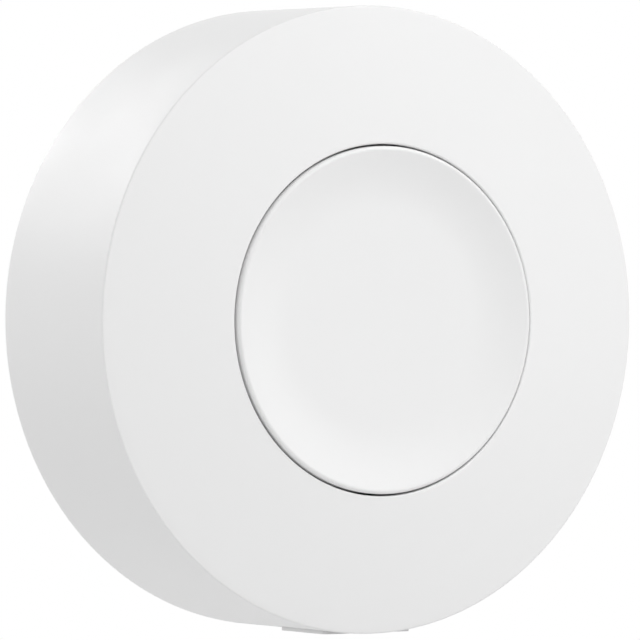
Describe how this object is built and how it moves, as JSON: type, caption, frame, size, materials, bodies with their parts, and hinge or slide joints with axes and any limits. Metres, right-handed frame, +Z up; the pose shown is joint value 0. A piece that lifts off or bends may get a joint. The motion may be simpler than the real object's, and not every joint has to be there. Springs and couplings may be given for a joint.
{
  "type": "smart button",
  "caption": "Round wall-hung smart button: deep white cover with a domed face, large dished push cap, release tab, and a battery-powered radio board behind it.",
  "frame": {"origin": "centre of the adhesive pad face that lies on the wall, on the axis of the round cover", "axes": "+Y into the wall, out of the back, -Y the way the button faces, +Z up, +X to the right seen from the front"},
  "size_m": [0.062, 0.0218, 0.062],
  "materials": {
    "cover_plastic": "fine spark-eroded satin, warm white",
    "button_plastic": "fine spark-eroded satin, warm white",
    "plate_plastic": "plain moulded, white",
    "tab_plastic": "fine spark-eroded satin, white",
    "adhesive_foam": "soft foam tape, light grey",
    "board_laminate": "solder mask, dark green",
    "screw_steel": "zinc plated",
    "tray_plastic": "plain moulded, black",
    "cell_can": "plain sleeve over a metal can",
    "contact_nickel": "nickel plated spring strip",
    "switch_black": "black nylon",
    "switch_steel": "pressed stainless strip",
    "module_laminate": "solder mask, dark blue",
    "shield_tin": "tinned sheet",
    "antenna_brass": "stamped strip",
    "chip_epoxy": "moulded epoxy",
    "capacitor_ceramic": "fired ceramic with tinned ends",
    "light_lens": "clear epoxy over phosphor",
    "key_plastic": "white nylon"
  },
  "bodies": {
    "wall_plate": {"back_plate": "plate_plastic", "adhesive_pad": "adhesive_foam"},
    "release_tab": {"release_tab": "tab_plastic"},
    "front_unit": {"front_cover": "cover_plastic", "circuit_board": "board_laminate", "board_screws": "screw_steel", "battery_tray": "tray_plastic", "battery_upper": "cell_can", "battery_lower": "cell_can", "plate_contact": "contact_nickel", "spring_contact": "contact_nickel", "bridge_contact": "contact_nickel", "switch_base": "switch_black", "switch_frame": "switch_steel", "switch_dome": "switch_steel", "radio_module": "module_laminate", "radio_shield": "shield_tin", "antenna": "antenna_brass", "crystal": "shield_tin", "controller_chip": "chip_epoxy", "chip_capacitors": "capacitor_ceramic", "status_light": "light_lens", "reset_base": "switch_black"},
    "button": {"button_cap": "button_plastic"},
    "switch_plunger": {"switch_plunger": "switch_black"},
    "reset_key": {"reset_plunger": "key_plastic"}
  },
  "joints": [
    {"name": "cover_pull", "type": "slide", "parent": "wall_plate", "child": "front_unit", "axis": [0, -1, 0], "range_m": [0, 0.03]},
    {"name": "button_press", "type": "slide", "parent": "front_unit", "child": "button", "axis": [0, 1, 0], "range_m": [0, 0.0005], "stiffness_N_per_m": 400, "springref_m": -0.002, "deforming": ["switch_dome"]},
    {"name": "plunger_press", "type": "slide", "parent": "front_unit", "child": "switch_plunger", "axis": [0, 1, 0], "range_m": [0, 0.0005]},
    {"name": "release_press", "type": "hinge", "parent": "wall_plate", "child": "release_tab", "pos_m": [0, -0.00135, -0.0284], "axis": [-1, 0, 0], "range_deg": [0, 4], "stiffness_Nm_per_rad": 0.5, "springref_deg": -2.86},
    {"name": "reset_press", "type": "slide", "parent": "front_unit", "child": "reset_key", "axis": [0, -1, 0], "range_m": [0, 0.0003], "stiffness_N_per_m": 300, "springref_m": -0.001}
  ],
  "couplings": [
    {"joint": "plunger_press", "follows": "button_press", "ratio": 1}
  ]
}
